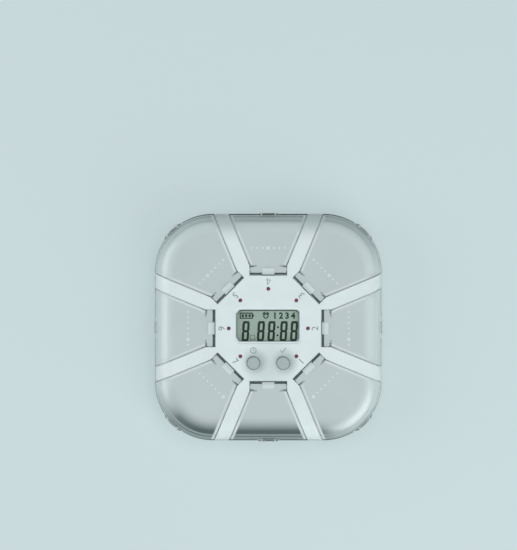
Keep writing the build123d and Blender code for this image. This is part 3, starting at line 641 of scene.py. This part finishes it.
# above it a battery gauge with three levels and a nub at its end: x, y, width and height of its frame
gauge = {"frame": (-18.7, 6.6, 8.0, 3.4), "stroke": 0.75, "nub": (0.7, 0.4), "levels": 3, "level": 1.5,
         "levelStep": 2.25, "levelFirst": 1.75, "levelInset": 1.525}
left, low, width, height = gauge["frame"]
right, high, stroke = left + width, low + height, gauge["stroke"]
gaugeEnds = [bar((left, low), (right, low), stroke), bar((left, high), (right, high), stroke)]
nubX, nubY, nubHalf = right + gauge["nub"][0], low + height / 2, gauge["nub"][1]
gaugeRest = [bar((left, low + stroke), (left, high - stroke), stroke),
             bar((right, low + stroke), (right, high - stroke), stroke),
             bar((nubX, nubY - nubHalf), (nubX, nubY + nubHalf), stroke)]
for count in range(gauge["levels"]):
    levelX = left + gauge["levelFirst"] + gauge["levelStep"] * count
    gaugeRest.append(bar((levelX, low + gauge["levelInset"]), (levelX, high - gauge["levelInset"]),
                         gauge["level"]))

# beside it an alarm clock with two bells, and low beside the first digit a small tag
alarm = {"place": (-1.6, 8.1), "radius": 1.45, "stroke": 0.75, "bellRadius": 2.35, "bellStroke": 0.9,
         "bellStarts": (30, 100), "bellSweep": 50, "hand": 0.7, "handStroke": 0.3}
tag = {"place": (-10.5, -6.2), "radius": 2.1, "stroke": 0.5}
alarmX, alarmY = alarm["place"]
bells = []
for start in alarm["bellStarts"]:
    bells += ring(alarm["place"], alarm["bellRadius"], alarm["bellStroke"], 5, start, alarm["bellSweep"])
displayMarks = {
    "displayDigits": segments, "displayColon": colon, "gaugeLevels": gaugeEnds, "gaugeSides": gaugeRest,
    "alarmFace": ring(alarm["place"], alarm["radius"], alarm["stroke"], 24), "alarmBells": bells,
    "alarmHand": [bar((alarmX, alarmY), (alarmX, alarmY + alarm["hand"]), alarm["handStroke"])],
    "tagSign": ring(tag["place"], tag["radius"], tag["stroke"], 4, 45)}  # four steps make a square
for name, outlines in displayMarks.items():
    crystal = crystalFaint if name == "tagSign" else crystalDark
    layMarks(name, outlines, displayTop, digit["thickness"], crystal, "housing")

# and the numbers of the four alarms
alarmNumber = {"letterHeight": 4.1, "capShare": 0.73, "weight": 0.2, "thickness": 0.03, "count": 4,
               "first": (4.4, 8.1), "step": 4.05}
firstX, firstY = alarmNumber["first"]
for count in range(alarmNumber["count"]):
    layNumber("alarmNumber" + str(count + 1), str(count + 1), alarmNumber,
              (firstX + alarmNumber["step"] * count, firstY), displayTop, -90, crystalDark)
print("display signs")

# shadow line of the window's frame, widest along the top, inside a mask that rounds the corners
frameLine = {"halfWidth": 20.5, "low": -8.75, "high": 12.35, "corner": 3.4, "side": 0.3, "top": 0.95,
             "steps": 8, "thickness": 0.03, "margin": 0.6, "maskCorner": 0.8, "edgeStart": 0.3,
             "edgeWidth": 0.5, "edgeSweep": 22.0}


def roundedRow(look, inset, topInset, radius):
    # points round a rectangle with round corners, anticlockwise from the lower right
    points = []
    right, low, high = look["halfWidth"] - inset, look["low"] + inset, look["high"] - topInset
    for quarter, (x, y) in enumerate([(right, low), (right, high), (-right, high), (-right, low)]):
        x -= math.copysign(radius, x)
        y += radius if y == low else -radius
        for step in range(look["steps"] + 1):
            turn = math.radians(90 * (quarter - 1 + step / look["steps"]))
            points.append((x + radius * math.cos(turn), y + radius * math.sin(turn)))
    return points


def between(outerRow, innerRow):
    return [[outerRow[i - 1], outerRow[i], innerRow[i], innerRow[i - 1]] for i in range(len(outerRow))]


maskRow = roundedRow(frameLine, -frameLine["margin"], -frameLine["margin"], frameLine["maskCorner"])
outerRow = roundedRow(frameLine, 0.0, 0.0, frameLine["corner"])
innerRow = roundedRow(frameLine, frameLine["side"], frameLine["top"],
                      frameLine["corner"] - frameLine["side"])
layMarks("windowFrameLine", between(outerRow, innerRow), displayTop, frameLine["thickness"], frameShadow,
         "housing")
layMarks("windowMask", between(maskRow, outerRow), displayTop, frameLine["thickness"], whiteAbs, "housing")
# the same painted shadow line goes on round the opening's left edge, on the hub
endX = frameLine["corner"] - frameLine["halfWidth"]
endYs = (frameLine["low"] + frameLine["corner"], frameLine["high"] - frameLine["corner"])
near = frameLine["corner"] + frameLine["edgeStart"]
far = near + frameLine["edgeWidth"]
sweep = frameLine["edgeSweep"]
edgeLine = [[(endX - far, endYs[0]), (endX - near, endYs[0]), (endX - near, endYs[1]),
             (endX - far, endYs[1])]]
for endY, first in zip(endYs, (180, 180 - sweep)):
    edgeLine += ring((endX, endY), (near + far) / 2, frameLine["edgeWidth"], 3, first, sweep)
layMarks("windowEdgeLine", edgeLine, deckTop, sign["thickness"], frameShadow, "housing")
print("window frame line")

# painted shade in the cross recesses of the screws under the box, as dark inlays
cross = {"radius": 31.3, "angles": (22.5, 157.5, 202.5, 337.5), "reach": 0.9, "width": 0.42,
         "thickness": 0.04}
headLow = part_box("tub_screws")[0][2] / mm
for number, angle in enumerate(cross["angles"], 1):
    turn = math.radians(angle)
    x, y = cross["radius"] * math.cos(turn), cross["radius"] * math.sin(turn)
    reach, half = cross["reach"], cross["width"] / 2
    plus = [(x - reach, y - half), (x - half, y - half), (x - half, y - reach), (x + half, y - reach),
            (x + half, y - half), (x + reach, y - half), (x + reach, y + half), (x + half, y + half),
            (x + half, y + reach), (x - half, y + reach), (x - half, y + half), (x - reach, y + half)]
    layMarks("screwCrossShade" + str(number), [plus], headLow - cross["thickness"] / 2, cross["thickness"],
             blackEpoxy, "housing")
print("screw crosses")

# a wide board painted matt and pale, a hair under the feet: size in metres, drop in millimetres
board = {"size": 6.0, "drop": 0.2, "paint": "d0dfe1", "roughness": 0.8, "even": "c8d9db", "evenShare": 0.6}
floorMesh = bpy.data.meshes.new("floor")
shape = bmesh.new()
bmesh.ops.create_grid(shape, x_segments=2, y_segments=2, size=board["size"])
shape.to_mesh(floorMesh)
shape.free()
floor = bpy.data.objects.new("floor", floorMesh)
bpy.context.scene.collection.objects.link(floor)
floor.location.z = -board["drop"] * mm
material, tree, surface = startMaterial("paintedBoardMatt")
paint = addNode(tree, "ShaderNodeBsdfPrincipled",
                inputs={"Base Color": linearFromHex(board["paint"]), "Roughness": board["roughness"]})
# what the camera, mirrors and clear pieces see of it is mostly an even tone of its own
rays = addNode(tree, "ShaderNodeLightPath")
seen = rays.outputs["Is Camera Ray"]
for kind in ("Is Glossy Ray", "Is Transmission Ray"):
    seen = addNode(tree, "ShaderNodeMath", {"operation": "MAXIMUM"},
                   links={0: seen, 1: rays.outputs[kind]}).outputs[0]
evenly = addNode(tree, "ShaderNodeMath", {"operation": "MULTIPLY"}, {1: board["evenShare"]}, {0: seen})
even = addNode(tree, "ShaderNodeEmission", inputs={"Color": linearFromHex(board["even"]), "Strength": 1.0})
both = addNode(tree, "ShaderNodeMixShader",
               links={0: evenly.outputs[0], 1: paint.outputs[0], 2: even.outputs[0]})
tree.links.new(both.outputs[0], surface)
floorMesh.materials.append(material)
floor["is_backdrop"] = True

# soft light from all round, then tall soft boxes on the left and at the front right, so the back and the
# front are left darker; the one overhead only evens out the floor and isn't mirrored by the lids;
# angles are in degrees and lengths in metres
sky = {"tone": "e8f0f2", "strength": 0.25}
world = bpy.data.worlds.new("studio")
bpy.context.scene.world = world
world.use_nodes = True
background = world.node_tree.nodes["Background"]
background.inputs["Color"].default_value = linearFromHex(sky["tone"])
background.inputs["Strength"].default_value = sky["strength"]
softboxes = {
    "boxLeft": {"turn": 176.0, "rise": 25.0, "distance": 1.2, "size": (1.2, 0.9), "glow": 1.9,
                "mirrored": True},
    "boxRight": {"turn": 314.0, "rise": 31.0, "distance": 1.2, "size": (1.0, 1.0), "glow": 2.7,
                 "mirrored": True},
    "boxTop": {"turn": 60.0, "rise": 80.0, "distance": 1.5, "size": (1.1, 1.1), "glow": 2.5,
               "mirrored": False}}
for boxName, box in softboxes.items():
    lampData = bpy.data.lights.new(boxName, "AREA")
    lampData.shape = "RECTANGLE"
    lampData.size, lampData.size_y = box["size"]
    lampData.energy = box["glow"] * math.pi * box["size"][0] * box["size"][1]
    lamp = bpy.data.objects.new(boxName, lampData)
    turn, rise = math.radians(box["turn"]), math.radians(box["rise"])
    lamp.location = box["distance"] * Vector((math.cos(turn) * math.cos(rise),
                                              math.sin(turn) * math.cos(rise), math.sin(rise)))
    lamp.rotation_euler = (-lamp.location).to_track_quat("-Z", "Y").to_euler()
    bpy.context.scene.collection.objects.link(lamp)
    lamp.visible_glossy = box["mirrored"]
print("floor and", len(softboxes), "soft boxes")

# a long lens from nearly straight above, leaned a little from the back; the hub's axis stands at centreX
# and centreY in the frame, and pixelsPerMm holds at the height of the rim
view = {"width": 517, "height": 550, "centreX": 268.3, "centreY": 327.2, "pixelsPerMm": 1.4985,
        "lens": 400.0, "sensor": 36.0, "farthest": 20.0, "rimHeight": 17.0, "lean": 3.0}
cameraData = bpy.data.cameras.new("camera")
cameraData.lens = view["lens"]
cameraData.sensor_width = view["sensor"]
cameraData.clip_end = view["farthest"]
camera = bpy.data.objects.new("camera", cameraData)
distance = view["lens"] * view["height"] / view["sensor"] / view["pixelsPerMm"]
lean = math.radians(view["lean"])
upward = Vector((0.0, math.cos(lean), -math.sin(lean)))
backward = Vector((0.0, math.sin(lean), math.cos(lean)))
camera.location = (Vector((0.0, 0.0, view["rimHeight"])) + distance * backward
                   - Vector((1.0, 0.0, 0.0)) * (view["centreX"] - view["width"] / 2) / view["pixelsPerMm"]
                   + upward * (view["centreY"] - view["height"] / 2) / view["pixelsPerMm"]) * mm
camera.rotation_euler = (-lean, 0.0, 0.0)
bpy.context.scene.collection.objects.link(camera)
bpy.context.scene.camera = camera
bpy.context.scene.view_settings.view_transform = "Standard"
print("camera at", round(distance), "mm")

low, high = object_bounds()
